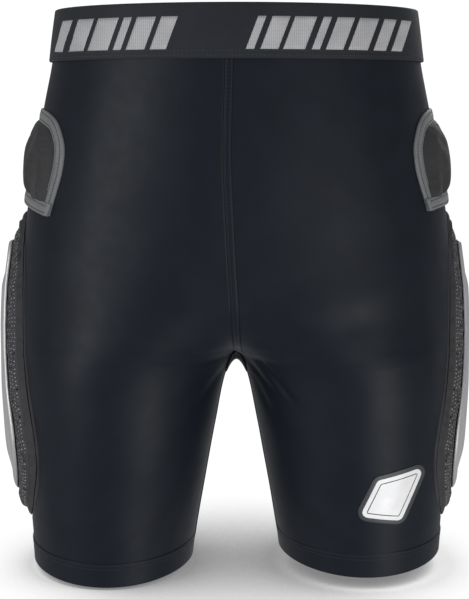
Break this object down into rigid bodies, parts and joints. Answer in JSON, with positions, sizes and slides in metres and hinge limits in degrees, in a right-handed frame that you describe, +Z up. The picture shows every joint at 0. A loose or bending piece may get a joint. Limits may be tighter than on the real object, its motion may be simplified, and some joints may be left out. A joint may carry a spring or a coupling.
{
  "type": "padded impact shorts",
  "caption": "Close-fitting padded shorts with an elastic waistband, hip and tailbone pads, and long outer-thigh pads faced with hard ribbed plates.",
  "frame": {"origin": "centre of the waist opening, level with the waistband's top edge", "axes": "+Z up along the wearer's trunk; the wearer faces -Y; the wearer's left is +X"},
  "size_m": [0.381, 0.2413, 0.45],
  "materials": {
    "stretch_fabric": "satin stretch knit",
    "waist_elastic": "woven elastic",
    "side_fabric": "matte stretch fabric",
    "pad_fabric": "matte woven fabric",
    "binding_tape": "grosgrain tape",
    "lining_mesh": "knitted mesh",
    "perforated_mesh": "perforated fabric",
    "silver_plate": "glossy moulded plastic",
    "foam": "closed-cell foam",
    "gripper_elastic": "silicone-dotted elastic",
    "reflective_film": "reflective film",
    "patch_border": "heat-pressed film",
    "label_satin": "woven satin"
  },
  "bodies": {
    "seat": {"waistband": "waist_elastic", "left_seat_front": "stretch_fabric", "right_seat_front": "stretch_fabric", "left_seat_back": "stretch_fabric", "right_seat_back": "stretch_fabric", "left_flex_zone": "stretch_fabric", "right_flex_zone": "stretch_fabric", "left_hip_foam": "foam", "right_hip_foam": "foam", "left_hip_cover": "pad_fabric", "right_hip_cover": "pad_fabric", "left_hip_tape": "binding_tape", "right_hip_tape": "binding_tape", "left_hip_lower_tape": "binding_tape", "right_hip_lower_tape": "binding_tape", "left_hip_lining": "lining_mesh", "right_hip_lining": "lining_mesh", "crotch_gusset": "stretch_fabric", "tailbone_foam": "foam", "tailbone_cover": "pad_fabric", "tailbone_tape": "binding_tape", "care_label": "label_satin"},
    "left_leg": {"left_leg_front": "stretch_fabric", "left_leg_back": "stretch_fabric", "left_side_panel": "side_fabric", "left_leg_hem": "stretch_fabric", "left_hem_gripper": "gripper_elastic", "left_thigh_foam": "foam", "left_thigh_cover": "perforated_mesh", "left_thigh_plate": "silver_plate", "left_thigh_rib": "silver_plate", "reflective_border": "patch_border", "reflective_patch": "reflective_film"},
    "right_leg": {"right_leg_front": "stretch_fabric", "right_leg_back": "stretch_fabric", "right_side_panel": "side_fabric", "right_leg_hem": "stretch_fabric", "right_hem_gripper": "gripper_elastic", "right_thigh_foam": "foam", "right_thigh_cover": "perforated_mesh", "right_thigh_plate": "silver_plate", "right_thigh_rib": "silver_plate"}
  },
  "joints": [
    {"name": "left_hip_flex", "type": "hinge", "parent": "seat", "child": "left_leg", "pos_m": [0.1, 0, -0.195], "axis": [-1, 0, 0], "range_deg": [-10, 45], "stiffness_Nm_per_rad": 0.25, "deforming": ["left_flex_zone"]},
    {"name": "right_hip_flex", "type": "hinge", "parent": "seat", "child": "right_leg", "pos_m": [-0.1, 0, -0.195], "axis": [-1, 0, 0], "range_deg": [-10, 45], "stiffness_Nm_per_rad": 0.25, "deforming": ["right_flex_zone"]}
  ]
}
